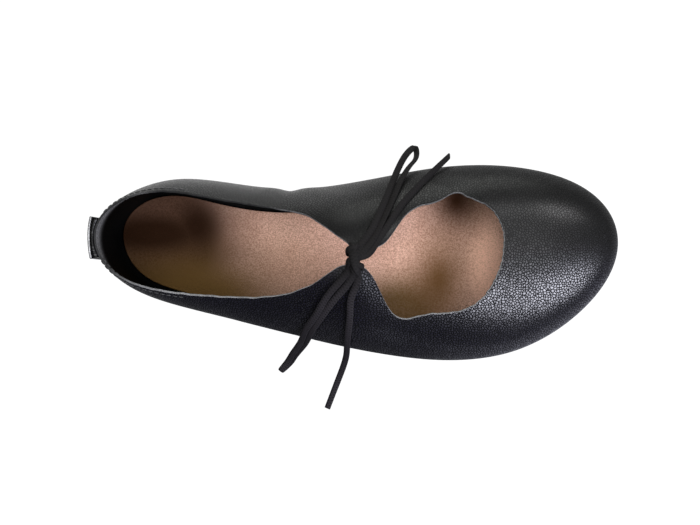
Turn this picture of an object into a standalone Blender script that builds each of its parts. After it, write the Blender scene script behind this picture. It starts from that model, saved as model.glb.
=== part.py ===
"""Ballet flat, right shoe: leather upper with two tied tabs, sole, insole, heel tab and lace.

Heel to toe runs along +X, the medial side is +Y, up is +Z, and the floor is Z = 0.
Lengths in the tables are millimetres: along from the back of the heel, out from the heel's middle
towards the medial side, up from the floor.
"""

import math

import bmesh
import bpy
import numpy as np

for thing in list(bpy.data.objects):
    bpy.data.objects.remove(thing)

MM = 0.001
LENGTH = 256.0
WALL = 1.8
GAP = 0.3
SOLE_THICK = 4.0
SOLE_BEVEL = 0.9
MARGIN = 6.0
ROLL = 3.0
INSOLE_THICK = 2.6
INSOLE_CHAMFER = 0.7
TOE_SPRING = 7.0
SPRING_START = 178.0
ARCH_LIFT = 1.4
ARCH_FROM = 78.0
ARCH_TO = 146.0
SPINE_BACK = 46.0
SPINE_FRONT = 160.0
SPINE_SOFT = 9.0
TAB_WIDTH = 20.0
TAB_THICK = 1.4
TAB_GAP = 0.5
TAB_LOOSE = 1.2
TAB_FLAT = 1.6
LACE = 2.4
BAR_WIDTH = 3.0
BAR_THICK = 1.2
KNOT_SIZE = (7.0, 13.6, 5.4)
KNOT_AT = (128.4, -15.7, 64.4)

LATERAL = 1
MEDIAL = -1

# The widest line of the upper, seen from above, and how far inside it the sole's edge lies.
OUTLINE_COLUMNS = ("side", "along", "out", "inset")
OUTLINE = (
    (LATERAL, 0, -4, 1.5),
    (LATERAL, 14, -28.3, 4.5),
    (LATERAL, 51, -41.5, 6.5),
    (LATERAL, 110, -56, 5),
    (LATERAL, 166, -65, 4),
    (LATERAL, 205, -60.5, 3),
    (LATERAL, 238, -40.5, 1.5),
    (LATERAL, 256, -6, 1),
    (MEDIAL, 238, 22.5, 2.5),
    (MEDIAL, 205, 32.3, 4),
    (MEDIAL, 166, 32, 6.5),
    (MEDIAL, 97, 21.4, 8.5),
    (MEDIAL, 38, 26.5, 4.5),
    (MEDIAL, 12, 17, 1.5),
)

# The last along its length: where its ridge runs, the heights of the ridge and of the widest line, and the
# power that makes the section full.
PROFILE_COLUMNS = ("along", "ridge_out", "ridge", "belly", "fullness")
PROFILE = (
    (0, -4, 22, 22, 2),
    (3.4, -4, 55, 22, 2),
    (25, -5.5, 66, 20, 2),
    (64, -9, 55, 17, 2),
    (100, -13, 55, 16, 2),
    (130, -15, 59, 15, 2),
    (150, -13, 52, 14, 2),
    (175, -11, 45, 13, 2.1),
    (198, -10, 39.5, 13, 2.2),
    (218, -9, 35, 12, 2.2),
    (238, -8, 28.5, 12, 2.1),
    (256, -6, 13, 13, 2),
)

# The top edge: how much leather stands above the widest line on each rib.
TOPLINE_COLUMNS = ("side", "along", "girth")
TOPLINE = (
    (LATERAL, 0, 30),
    (LATERAL, 30, 28.5),
    (LATERAL, 64, 31.5),
    (LATERAL, 90, 39),
    (LATERAL, 109, 53),
    (LATERAL, 122, 65.5),
    (LATERAL, 131, 67),
    (LATERAL, 137, 61.5),
    (LATERAL, 144, 46),
    (LATERAL, 149, 39.5),
    (LATERAL, 158, 39),
    (LATERAL, 190, 41.5),
    (LATERAL, 220, 50),
    (LATERAL, 256, 66.5),
    (MEDIAL, 232, 52.5),
    (MEDIAL, 210, 41.5),
    (MEDIAL, 192, 34.5),
    (MEDIAL, 184, 32.5),
    (MEDIAL, 173, 37.5),
    (MEDIAL, 158, 40.5),
    (MEDIAL, 150, 49),
    (MEDIAL, 143, 58.6),
    (MEDIAL, 137, 62.2),
    (MEDIAL, 131, 65.6),
    (MEDIAL, 126, 60),
    (MEDIAL, 120, 54),
    (MEDIAL, 107, 40.5),
    (MEDIAL, 92, 32.5),
    (MEDIAL, 60, 30.5),
    (MEDIAL, 25, 30),
)


def column(rows, columns, name):
    return np.array([row[columns.index(name)] for row in rows], float)


def curve(knots, values, at, period=None):
    """The cubic curve through the rows, smooth to its second derivative, closed where it has a period."""
    at = np.asarray(at, float)
    count = len(knots)
    here = np.arange(count)
    if period:
        after = (here + 1) % count
        step = np.diff(np.append(knots, knots[0] + period))
        at = (at - knots[0]) % period + knots[0]
    else:
        after = np.minimum(here + 1, count - 1)
        step = np.append(np.diff(knots), 1.0)
        at = np.clip(at, knots[0], knots[-1])
    slope = (values[after] - values) / step
    before = np.roll(step, 1)
    matrix = np.zeros((count, count))
    matrix[here, here] = 2 * (before + step)
    matrix[here, here - 1] += before
    matrix[here, (here + 1) % count] += step
    turn = 6 * (slope - np.roll(slope, 1))
    if not period:
        matrix[[0, -1]] = 0
        matrix[0, 0] = 1
        matrix[-1, -1] = 1
        turn[[0, -1]] = 0
    bend = np.linalg.solve(matrix, turn)
    last = count - 1 if period else count - 2
    row = np.clip(np.searchsorted(knots, at, side="right") - 1, 0, last)
    past = at - knots[row]
    change = (bend[after[row]] - bend[row]) / (6 * step[row])
    first = slope[row] - step[row] * (2 * bend[row] + bend[after[row]]) / 6
    return values[row] + past * (first + past * (bend[row] / 2 + past * change))


def turn_of(along):
    """The angle whose cosine spaces the length, so that both ends of the shoe come out round."""
    return np.arccos(np.clip(1 - 2 * np.asarray(along, float) / LENGTH, -1, 1))


def loop_turn(side, along):
    """Angle round the shoe: the heel is 0, then the lateral side, the toe at pi, and the medial side."""
    return np.where(np.asarray(side) == LATERAL, turn_of(along), 2 * math.pi - turn_of(along))


def turns_of(rows, columns):
    return loop_turn(column(rows, columns, "side"), column(rows, columns, "along"))


OUTLINE_TURN = turns_of(OUTLINE, OUTLINE_COLUMNS)
TOPLINE_TURN = turns_of(TOPLINE, TOPLINE_COLUMNS)
PROFILE_TURN = turn_of(column(PROFILE, PROFILE_COLUMNS, "along"))


def outline_column(name, turn):
    return curve(OUTLINE_TURN, column(OUTLINE, OUTLINE_COLUMNS, name), turn, 2 * math.pi)


def profile_column(name, along):
    return curve(PROFILE_TURN, column(PROFILE, PROFILE_COLUMNS, name), turn_of(along))


def top_girth(turn):
    return curve(TOPLINE_TURN, column(TOPLINE, TOPLINE_COLUMNS, "girth"), turn, 2 * math.pi)


def outline(turn, inset=0.0):
    """Plan points of the widest line, moved inwards by the inset."""
    turn = np.asarray(turn, float)
    step = 0.002

    def spot(angle):
        return np.stack([LENGTH / 2 * (1 - np.cos(angle)), outline_column("out", angle)], axis=-1)

    tangent = spot(turn + step) - spot(turn - step)
    tangent /= np.linalg.norm(tangent, axis=-1, keepdims=True)
    inward = np.stack([-tangent[..., 1], tangent[..., 0]], axis=-1)
    return spot(turn) + inward * np.asarray(inset, float)[..., None]


def lift(along):
    """How far the whole shoe is bent up here: the arch's low rise and the toe's spring."""
    arch = np.clip((along - ARCH_FROM) / (ARCH_TO - ARCH_FROM), 0, 1)
    toe = np.clip((along - SPRING_START) / (LENGTH - SPRING_START), 0, 1.2)
    return ARCH_LIFT * np.sin(math.pi * arch) ** 2 + TOE_SPRING * toe**2


def bent(points):
    """The points bent up with the sole."""
    points = np.array(points, float)
    points[..., 2] += lift(points[..., 0])
    return points


def last_height(along, out):
    """Height of the last's upper surface over a plan point: a superellipse across each section."""
    along = np.clip(along, 0.01, LENGTH - 0.01)
    turn = turn_of(along)
    ridge_out = profile_column("ridge_out", along)
    lateral = ridge_out - outline_column("out", turn)
    medial = outline_column("out", -turn) - ridge_out
    reach = np.where(out < ridge_out, lateral, medial)
    share = np.clip(np.abs(out - ridge_out) / np.maximum(reach, 1e-6), 0, 1)
    belly = profile_column("belly", along)
    rise = profile_column("ridge", along) - belly
    full = profile_column("fullness", along)
    return belly + rise * (1 - share**full) ** (1 / full)


def spine(along):
    """The plan point that a rib runs to: straight across at the tabs, fanned out at heel and toe."""
    front = SPINE_FRONT - SPINE_SOFT * np.log1p(np.exp((SPINE_FRONT - along) / SPINE_SOFT))
    spot = SPINE_BACK + SPINE_SOFT * np.log1p(np.exp((front - SPINE_BACK) / SPINE_SOFT))
    return np.stack([spot, profile_column("ridge_out", spot)], axis=-1)


def rib(turn, girths):
    """Points up one rib of the upper, at these lengths of leather above the widest line."""
    foot = outline(turn)
    share = 1 - np.cos(np.linspace(0, math.pi / 2, 160))
    plan = foot + share[:, None] * (spine(foot[0]) - foot)
    height = last_height(plan[:, 0], plan[:, 1])
    height[0] = profile_column("belly", foot[0])
    path = np.column_stack([plan, height])
    length = np.append(0, np.cumsum(np.linalg.norm(np.diff(path, axis=0), axis=1)))
    return np.column_stack([np.interp(girths, length, path[:, axis]) for axis in range(3)])


def under(turn, shares):
    """Points from the widest line down and in, to where the leather lies flat on the sole."""
    foot = outline(turn)
    belly = profile_column("belly", foot[0])
    floor = SOLE_THICK + GAP
    reach = outline_column("inset", turn) + ROLL
    stem = max(belly - floor - reach, 0.3 * (belly - floor))
    t = np.asarray(shares)[:, None]
    corners = np.array([(0, belly), (0, belly - stem), (0.2 * reach, floor), (reach, floor)])
    weights = np.hstack([(1 - t) ** 3, 3 * t * (1 - t) ** 2, 3 * t**2 * (1 - t), t**3])
    inset, height = (weights @ corners).T
    return np.column_stack([outline(np.full(len(inset), turn), inset), height])


def on_upper(side, along, girth, clear):
    """A point at this clearance outside the upper's leather."""
    turn = float(loop_turn(side, along))
    low, high = rib(turn, [girth - 0.5, girth + 0.5])
    back, front = (rib(turn + step, [girth])[0] for step in (-0.004, 0.004))
    normal = np.cross(front - back, high - low)
    normal /= np.linalg.norm(normal)
    return bent((low + high) / 2) + normal * clear


def even_turns(count):
    """Angles round the shoe, spaced by the widest line and the top edge together."""
    fine = np.linspace(0, 2 * math.pi, 721)
    foot = outline(fine)
    top = np.array([rib(turn, [length])[0] for turn, length in zip(fine, top_girth(fine))])
    pace = sum(np.linalg.norm(np.diff(line, axis=0), axis=1) for line in (foot, top))
    covered = np.append(0, np.cumsum(pace))
    return np.interp(np.arange(count) * covered[-1] / count, covered, fine)


def upper_grid(turns, up, down):
    """Ribs of the upper's outside: the turned-in margin, the roll and the wall to the top edge."""
    ribs = []
    for turn, length in zip(turns, top_girth(turns)):
        edge = outline(turn, outline_column("inset", turn) + ROLL + MARGIN)
        roll = under(turn, np.linspace(1, 0, down + 1)[:-1])
        wall = rib(turn, np.linspace(0, length, up + 1))
        ribs.append(np.vstack([np.append(edge, SOLE_THICK + GAP), roll, wall]))
    return bent(ribs)


def heel_grid(across, up):
    """Ribs of the heel tab's inner face, from above the sole to the top edge, where it stands loose."""
    ribs = []
    pace = np.linalg.norm(outline(0.02) - outline(-0.02)) / 0.04
    for place in np.linspace(-TAB_WIDTH / 2, TAB_WIDTH / 2, across + 1):
        turn = place / pace
        roll = under(turn, (0.62, 0.45, 0.28, 0.12))
        wall = rib(turn, np.linspace(0, top_girth(turn) - GAP, up + 1))
        path = np.vstack([roll, wall])
        share = np.linspace(0, 1, len(path))
        out = outline(turn) - outline(turn, 1.0)
        path[:, :2] += out * (TAB_GAP + TAB_LOOSE * share**3)[:, None]
        path[:, 0] -= TAB_FLAT * (2 * place / TAB_WIDTH) ** 2 * share**2
        ribs.append(path)
    return np.array(ribs)


def box_middle():
    """Middle of the shoe's box in plan, with the heel tab's thickness behind the heel."""
    ring = outline(np.linspace(0, 2 * math.pi, 1440))
    low = ring.min(axis=0) - (TAB_GAP + TAB_THICK, 0)
    return np.append((low + ring.max(axis=0)) / 2, 0)


MIDDLE = box_middle()

shoe = bpy.data.collections.new("ballet_flat")
bpy.context.scene.collection.children.link(shoe)


def material(name, colour, rough):
    look = bpy.data.materials.new(name)
    look.use_nodes = True
    shader = look.node_tree.nodes["Principled BSDF"]
    shader.inputs["Base Color"].default_value = (*colour, 1)
    shader.inputs["Roughness"].default_value = rough
    return look


leather = material("black leather", (0.012, 0.012, 0.014), 0.5)
rubber = material("black rubber", (0.015, 0.015, 0.015), 0.6)
tan = material("tan leather", (0.42, 0.22, 0.13), 0.55)
braid = material("black braid", (0.02, 0.018, 0.019), 0.8)


def placed(name, data, look):
    piece = bpy.data.objects.new(name, data)
    data.materials.append(look)
    shoe.objects.link(piece)
    return piece


def mesh_piece(name, points, faces, look):
    mesh = bpy.data.meshes.new(name)
    mesh.from_pydata(((np.asarray(points) - MIDDLE) * MM).tolist(), [], faces)
    return placed(name, mesh, look)


def sheet(name, grid, thick, side, look, ring=False):
    """An open sheet of grid points, with its thickness laid on by a Solidify."""
    columns, rows = grid.shape[:2]
    faces = []
    for a in range(columns if ring else columns - 1):
        here = a * rows
        there = (a + 1) % columns * rows
        faces.extend((here + b, there + b, there + b + 1, here + b + 1) for b in range(rows - 1))
    piece = mesh_piece(name, grid.reshape(-1, 3), faces, look)
    shell = piece.modifiers.new("thickness", "SOLIDIFY")
    shell.thickness = thick * MM
    shell.offset = side
    shell.use_even_offset = True
    shell.use_quality_normals = True
    return piece


def plate(name, rings, stations, across, look):
    """A solid through rings, each an inset from the sole's edge and a height, with gridded end faces."""
    half = np.linspace(0, math.pi, stations + 1)
    turns = np.append(half, 2 * math.pi - half[-2:0:-1])
    count = len(turns)
    edge = outline_column("inset", turns)
    points = []
    faces = []
    for inset, height in rings:
        points.extend(np.column_stack([outline(turns, edge + inset), np.full(count, height)]))
    for low in range(0, (len(rings) - 1) * count, count):
        for a in range(count):
            b = (a + 1) % count
            faces.append((low + a, low + b, low + count + b, low + count + a))
    for first, upward in ((0, False), ((len(rings) - 1) * count, True)):
        lines = [[first] * (across + 1)]
        for a in range(1, stations):
            near = first + a
            far = first + count - a
            shares = np.linspace(0, 1, across + 1)[1:-1, None]
            inner = range(len(points), len(points) + across - 1)
            points.extend(points[near] + shares * (points[far] - points[near]))
            lines.append([near, *inner, far])
        lines.append([first + stations] * (across + 1))
        for back, front in zip(lines, lines[1:]):
            for k in range(across):
                face = list(dict.fromkeys((back[k], front[k], front[k + 1], back[k + 1])))
                faces.append(face if upward else face[::-1])
    return mesh_piece(name, bent(points), faces, look)


def cord(name, route):
    """A tube of lace along a smooth curve through the route's points."""
    route = np.array(route, float)
    reach = np.append(0, np.cumsum(np.linalg.norm(np.diff(route, axis=0), axis=1)))
    count = max(int(reach[-1] / (2.2 * LACE)), 6)
    at = np.linspace(0, reach[-1], count + 1)
    path = np.column_stack([curve(reach, route[:, axis], at) for axis in range(3)])
    data = bpy.data.curves.new(name, "CURVE")
    data.dimensions = "3D"
    data.bevel_depth = LACE / 2 * MM
    data.bevel_resolution = 2
    data.use_fill_caps = True
    spline = data.splines.new("POLY")
    spline.points.add(count)
    for spot, place in zip(spline.points, (path - MIDDLE) * MM):
        spot.co = (*place, 1)
    return placed(name, data, braid)


plate("outsole", [(SOLE_BEVEL, 0), (0, 1.4), (0, SOLE_THICK)], 40, 4, rubber)

seat = SOLE_THICK + WALL + 2 * GAP
core = ROLL + MARGIN + 2 * GAP
rim = ROLL + 2 * GAP
plate(
    "insole",
    [
        (core, SOLE_THICK + GAP),
        (core, seat),
        (rim, seat),
        (rim, seat + INSOLE_THICK - INSOLE_CHAMFER),
        (rim + INSOLE_CHAMFER, seat + INSOLE_THICK),
    ],
    40, 4, tan,
)

sheet("upper", upper_grid(even_turns(104), 9, 4), WALL, -1, leather, True)
sheet("heel_tab", heel_grid(6, 5), TAB_THICK, 1, leather)


def bar_grid():
    """The bar of lace lying across both tabs, two points wide, from the lateral hole to the medial one."""
    rows = ((LATERAL, 129.8, 61), (LATERAL, 129.5, 63.5), (LATERAL, 129.2, 66),
            (MEDIAL, 128.5, 63.8), (MEDIAL, 128.3, 61.8), (MEDIAL, 128.1, 59.8))
    edges = []
    for half in (-BAR_WIDTH / 2, BAR_WIDTH / 2):
        edges.append([on_upper(side, along + half, girth, 1.5 * GAP) for side, along, girth in rows])
    return np.array(edges)


def knot():
    ball = bmesh.new()
    bmesh.ops.create_uvsphere(ball, u_segments=16, v_segments=10, radius=0.5)
    mesh = bpy.data.meshes.new("lace_knot")
    ball.to_mesh(mesh)
    ball.free()
    piece = placed("lace_knot", mesh, braid)
    piece.scale = [side * MM for side in KNOT_SIZE]
    piece.location = (np.array(KNOT_AT) - MIDDLE) * MM
    piece.rotation_euler.z = math.radians(8)


def leather_spot(side, along, girth):
    """A point of a lace that lies on the leather."""
    return on_upper(side, along, girth, LACE / 2 + 2 * GAP)


sheet("lace_bar", bar_grid(), BAR_THICK, 1, braid)
knot()
cord(
    "lace_loop_medial",
    [
        (130.4, -9.2, 62.6),
        leather_spot(MEDIAL, 135.9, 52.9),
        leather_spot(MEDIAL, 138.6, 46.4),
        leather_spot(MEDIAL, 141.3, 39.1),
        leather_spot(MEDIAL, 143.6, 31.5),
        (148.4, 32, 26.5),
        (152.8, 40.7, 13),
        (156.4, 43.7, 3.2),
        (157.8, 39.2, 9.5),
        (155, 32.6, 22.5),
        leather_spot(MEDIAL, 148.2, 29),
        leather_spot(MEDIAL, 144.1, 40.5),
        leather_spot(MEDIAL, 141.4, 47),
        leather_spot(MEDIAL, 138.7, 53.2),
        (132.3, -11.1, 62.6),
    ],
)
cord(
    "lace_end_medial",
    [
        (133.6, -13.9, 62.3),
        leather_spot(MEDIAL, 138.4, 58.8),
        leather_spot(MEDIAL, 142.1, 53.2),
        leather_spot(MEDIAL, 147.3, 44.3),
        leather_spot(MEDIAL, 153.6, 35.2),
        leather_spot(MEDIAL, 159.8, 27.2),
        leather_spot(MEDIAL, 164, 21),
        (168.2, 32.2, 25),
        (173.2, 38.2, 12),
    ],
)
cord(
    "lace_loop_lateral",
    [
        (124.7, -21.7, 62.6),
        leather_spot(LATERAL, 116.2, 50.6),
        leather_spot(LATERAL, 109.7, 37.3),
        leather_spot(LATERAL, 105.4, 28.5),
        (98.6, -56.2, 24.5),
        (93, -63, 12.5),
        (88.4, -69, 5.2),
        (86.2, -71.8, 3),
        (88.8, -69.6, 1.7),
        (93.9, -64.3, 8.4),
        (101.5, -57.2, 23.6),
        leather_spot(LATERAL, 108.9, 28.2),
        leather_spot(LATERAL, 113.4, 37.8),
        leather_spot(LATERAL, 120.4, 51.4),
        (127.2, -22.9, 62.6),
    ],
)
cord(
    "lace_end_lateral",
    [
        (129.9, -23.3, 62.4),
        leather_spot(LATERAL, 126.6, 52),
        leather_spot(LATERAL, 125.8, 44),
        leather_spot(LATERAL, 125, 36),
        leather_spot(LATERAL, 123.8, 26),
        (121.9, -61.2, 25),
        (119.2, -68.9, 11),
        (115.4, -78, 3),
        (110.2, -91.4, 1.7),
    ],
)
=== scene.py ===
"""Looks of the ballet flat, a right shoe: leather, cut edges, insole, lattice tread, stitches and tied lace.

The shapes follow the part's own tables, in millimetres: along from the back of the heel, out towards the
medial side, up from the floor. Each piece is set in the frame, in metres, as it is made.
"""

import math

import bmesh
import bpy
import numpy as np
from mathutils import Matrix, Vector


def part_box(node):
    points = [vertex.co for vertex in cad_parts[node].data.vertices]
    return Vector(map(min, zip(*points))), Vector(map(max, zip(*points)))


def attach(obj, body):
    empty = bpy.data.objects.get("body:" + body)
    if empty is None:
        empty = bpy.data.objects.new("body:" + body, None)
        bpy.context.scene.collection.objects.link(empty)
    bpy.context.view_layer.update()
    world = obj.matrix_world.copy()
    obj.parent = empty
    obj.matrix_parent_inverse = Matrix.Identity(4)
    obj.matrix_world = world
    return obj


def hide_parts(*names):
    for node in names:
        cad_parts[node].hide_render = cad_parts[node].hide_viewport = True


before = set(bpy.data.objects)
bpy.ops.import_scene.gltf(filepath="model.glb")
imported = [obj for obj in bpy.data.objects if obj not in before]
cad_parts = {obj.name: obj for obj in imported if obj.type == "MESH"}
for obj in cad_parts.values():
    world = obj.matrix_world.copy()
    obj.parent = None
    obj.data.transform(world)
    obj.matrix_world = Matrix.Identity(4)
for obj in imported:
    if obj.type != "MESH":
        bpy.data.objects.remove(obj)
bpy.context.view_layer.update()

MM = 0.001
LATERAL = 1
MEDIAL = -1

# The shoe and its leather.
LENGTH = 256.0
HEEL_OUT = -4.0
WALL = 1.8
PEBBLE = 1.3
GAP = 0.3
SOLE_THICK = 4.0
MARGIN = 6.0
MARGIN_GIRTH = -26.0
ROLL = 3.0
ROLL_GIRTH = -20.0
TOE_SPRING = 7.0
SPRING_START = 178.0
ARCH_LIFT = 1.4
ARCH_FROM = 78.0
ARCH_TO = 146.0
SPINE_BACK = 46.0
SPINE_FRONT = 160.0
SPINE_SOFT = 9.0
RIB_POINTS = 160
ROUND_POINTS = 1441

# The cut edge: its thickness, its rounding, how far down the leather is pared, and its ripples, each with its
# height, its waves round the shoe and its phase.
CUT_THICK = 1.0
CUT_ROUND = 0.3
SKIVE = 7.0
CUT_RIPPLES = (
    (0.12, 47, 0),
    (0.1, 83, 1),
)

# The insole, and where its medial edge stands off the wall.
INSOLE_THICK = 2.6
INSOLE_RIM = 1.0
INSOLE_ROUND = 0.8
INSOLE_GAP = 2.3
GAP_ALONG = 54.0
GAP_REACH = 30.0

# Where the foot has pressed the insole: the middle along and out, the reach both ways and the depth.
PRESSED = (
    (38, -4, 34, 22, 0.5),
    (176, -16, 40, 36, 0.4),
)

# The sole and its tread.
SOLE_SIDE = 2.6
SOLE_ROUND = 0.7
FOOT_ROUND = 1.1
RIM_BEVEL = 0.3
WELL_DEPTH = 1.25
TREAD_PITCH = 2.15
TREAD_RIB = 0.65
TREAD_DEPTH = 0.9
TREAD_RIM = 2.6
TREAD_LAP = 0.1
TREAD_SHEET = 0.3
PIT_SLOPE = 0.1
WAVE_LONG = 19.5
WAVE_HIGH = 1.75
SAME_POINT = 0.02

# The heel strip, whose foot and belly are shares of the roll below the widest line.
TAB_WIDTH = 20.0
TAB_THICK = 1.4
TAB_GAP = 0.5
TAB_LOOSE = 1.2
TAB_FLAT = 1.6
TAB_FOOT = 0.62
TAB_BELLY = 0.06
TAB_BEVEL = 0.4
BACKING_ROWS = 26
BACKING_IN = 0.3
BACKING_CLEAR = 0.05
BACKING_RIDGE = 0.25

# The stitches.
STITCH_PITCH = 3.0
STITCH_LONG = 2.2
STITCH_THICK = 0.5
STITCH_INSET = 2.7
STITCH_END = 43.0
STITCH_PROUD = 0.12
STRIP_CLEAR = 0.8
STRIP_END = 20.0

# The lace, whose route clears the leather as the part's round cord does.
CORD_THICK = 2.4
LACE_WIDTH = 3.3
LACE_THICK = 1.25
LACE_OBLONG = 0.75
STRAND_LONG = 1.5
STRANDS = 3
LACE_CORE = 12.0
LACE_UP = 0.6
LEAN_GROWTH = 0.7
FOLD_LONG = 8.0
BAR_WIDTH = 3.0
BAR_THICK = 1.2
KNOT_CORE = (128.4, 63.2)

# The camera: its sensor in millimetres, the photograph's frame in pixels, its place and its aim in metres.
SENSOR = 36
IMAGE_WIDE = 700
FOCAL_PIXELS = 998
SHIFT_PIXELS = -7.5
CAMERA_PLACE = (0.030, -0.010, 0.520)
AIM = (0, 0, 0.020)

# The widest line of the upper from above, and how far inside it are the sole's edge and the insole's rim.
OUTLINE_COLUMNS = ("side", "along", "out", "inset", "rim")
OUTLINE = (
    (LATERAL, 0, -4, 1.5, 4.2),
    (LATERAL, 14, -28.3, 4.5, 5.6),
    (LATERAL, 51, -41.5, 6.5, 6.6),
    (LATERAL, 110, -56, 5, 6.2),
    (LATERAL, 166, -65, 4, 5.9),
    (LATERAL, 205, -60.5, 3, 5.6),
    (LATERAL, 238, -40.5, 1.5, 5),
    (LATERAL, 256, -6, 1, 4.9),
    (MEDIAL, 238, 22.5, 2.5, 5.4),
    (MEDIAL, 205, 32.3, 4, 5.9),
    (MEDIAL, 166, 32, 6.5, 6.8),
    (MEDIAL, 97, 21.4, 8.5, 10.8),
    (MEDIAL, 38, 26.5, 4.5, 6.2),
    (MEDIAL, 12, 17, 1.5, 2.4),
)

# The last along its length: where its ridge runs, the heights of the ridge and of the widest line, and the
# power that makes the section full.
PROFILE_COLUMNS = ("along", "ridge_out", "ridge", "belly", "fullness")
PROFILE = (
    (0, -4, 22, 22, 2),
    (3.4, -4, 55, 22, 2),
    (25, -5.5, 66, 20, 2),
    (64, -9, 55, 17, 2),
    (100, -13, 55, 16, 2),
    (130, -15, 59, 15, 2),
    (150, -13, 52, 14, 2),
    (175, -11, 45, 13, 2.1),
    (198, -10, 39.5, 13, 2.2),
    (218, -9, 35, 12, 2.2),
    (238, -8, 28.5, 12, 2.1),
    (256, -6, 13, 13, 2),
)

# The top edge: how much leather stands above the widest line on each rib.
TOPLINE_COLUMNS = ("side", "along", "girth")
TOPLINE = (
    (LATERAL, 0, 30),
    (LATERAL, 30, 28.5),
    (LATERAL, 64, 31.5),
    (LATERAL, 90, 39),
    (LATERAL, 109, 53),
    (LATERAL, 122, 65.5),
    (LATERAL, 131, 67),
    (LATERAL, 137, 61.5),
    (LATERAL, 144, 46),
    (LATERAL, 149, 39.5),
    (LATERAL, 158, 39),
    (LATERAL, 190, 41.5),
    (LATERAL, 220, 50),
    (LATERAL, 256, 66.5),
    (MEDIAL, 232, 52.5),
    (MEDIAL, 210, 41.5),
    (MEDIAL, 192, 34.5),
    (MEDIAL, 184, 32.5),
    (MEDIAL, 173, 37.5),
    (MEDIAL, 158, 40.5),
    (MEDIAL, 150, 49),
    (MEDIAL, 143, 58.6),
    (MEDIAL, 137, 62.2),
    (MEDIAL, 131, 65.6),
    (MEDIAL, 126, 60),
    (MEDIAL, 120, 54),
    (MEDIAL, 107, 40.5),
    (MEDIAL, 92, 32.5),
    (MEDIAL, 60, 30.5),
    (MEDIAL, 25, 30),
)

# Soft troughs in the leather, ridges where the depth is negative: the middle, half the length, the lean from
# the shoe's length in degrees, half the width and the depth.
CREASE_COLUMNS = ("side", "along", "girth", "reach", "lean", "width", "depth")
CREASES = (
    (MEDIAL, 93, 4, 16, 78, 4.5, 1.1),
    (MEDIAL, 104, 12, 16, 62, 6, -0.5),
    (MEDIAL, 84, 12, 14, 96, 6, -0.4),
    (MEDIAL, 120, 20, 20, 40, 5, 0.35),
    (MEDIAL, 178, 24, 14, 12, 5, 0.5),
    (LATERAL, 98, 14, 16, 70, 6, 0.4),
    (LATERAL, 118, 22, 18, 96, 7, 0.35),
    (LATERAL, 150, 24, 16, 150, 6, 0.4),
    (LATERAL, 62, 12, 14, 84, 7, 0.3),
)


def column(rows, columns, name):
    """One column of a table, by its name."""
    return np.array([row[columns.index(name)] for row in rows], float)


def curve(knots, values, at, period=None):
    """The cubic curve through the rows, smooth to its second derivative, closed where it has a period."""
    at = np.asarray(at, float)
    count = len(knots)
    here = np.arange(count)
    if period:
        after = (here + 1) % count
        step = np.diff(np.append(knots, knots[0] + period))
        at = (at - knots[0]) % period + knots[0]
    else:
        after = np.minimum(here + 1, count - 1)
        step = np.append(np.diff(knots), 1.0)
        at = np.clip(at, knots[0], knots[-1])
    slope = (values[after] - values) / step
    before = np.roll(step, 1)
    matrix = np.zeros((count, count))
    matrix[here, here] = 2 * (before + step)
    matrix[here, here - 1] += before
    matrix[here, (here + 1) % count] += step
    turn = 6 * (slope - np.roll(slope, 1))
    if not period:
        matrix[[0, -1]] = 0
        matrix[0, 0] = 1
        matrix[-1, -1] = 1
        turn[[0, -1]] = 0
    bend = np.linalg.solve(matrix, turn)
    last = count - 1 if period else count - 2
    row = np.clip(np.searchsorted(knots, at, side="right") - 1, 0, last)
    past = at - knots[row]
    change = (bend[after[row]] - bend[row]) / (6 * step[row])
    first = slope[row] - step[row] * (2 * bend[row] + bend[after[row]]) / 6
    return values[row] + past * (first + past * (bend[row] / 2 + past * change))


def turn_of(along):
    """The angle whose cosine spaces the length, so that both ends of the shoe come out round."""
    return np.arccos(np.clip(1 - 2 * np.asarray(along, float) / LENGTH, -1, 1))


def loop_turn(side, along):
    """Angle round the shoe: the heel is 0, then the lateral side, the toe at pi, and the medial side."""
    return np.where(np.asarray(side) == LATERAL, turn_of(along), 2 * math.pi - turn_of(along))


def turns_of(rows, columns):
    """The angle round the shoe of each row of a table."""
    return loop_turn(column(rows, columns, "side"), column(rows, columns, "along"))


OUTLINE_TURN = turns_of(OUTLINE, OUTLINE_COLUMNS)
TOPLINE_TURN = turns_of(TOPLINE, TOPLINE_COLUMNS)
PROFILE_TURN = turn_of(column(PROFILE, PROFILE_COLUMNS, "along"))


def outline_column(name, turn):
    """A column of the outline at these angles."""
    return curve(OUTLINE_TURN, column(OUTLINE, OUTLINE_COLUMNS, name), turn, 2 * math.pi)


def profile_column(name, along):
    """A column of the profile at these places along."""
    return curve(PROFILE_TURN, column(PROFILE, PROFILE_COLUMNS, name), turn_of(along))


def top_girth(turn):
    """The leather that stands above the widest line at these angles."""
    return curve(TOPLINE_TURN, column(TOPLINE, TOPLINE_COLUMNS, "girth"), turn, 2 * math.pi)


def unit(vectors):
    """The same directions at length one."""
    return vectors / np.linalg.norm(vectors, axis=-1, keepdims=True)


def reach_of(path):
    """Length from the first point of each path to its others."""
    steps = np.linalg.norm(np.diff(path, axis=-2), axis=-1)
    return np.concatenate([np.zeros_like(steps[..., :1]), np.cumsum(steps, axis=-1)], axis=-1)


def outline(turn, inset=0.0):
    """Plan points of the widest line, moved inwards by the inset."""
    turn = np.asarray(turn, float)
    step = 0.002

    def spot(angle):
        return np.stack([LENGTH / 2 * (1 - np.cos(angle)), outline_column("out", angle)], axis=-1)

    tangent = unit(spot(turn + step) - spot(turn - step))
    inward = np.stack([-tangent[..., 1], tangent[..., 0]], axis=-1)
    return spot(turn) + inward * np.asarray(inset, float)[..., None]


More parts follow.
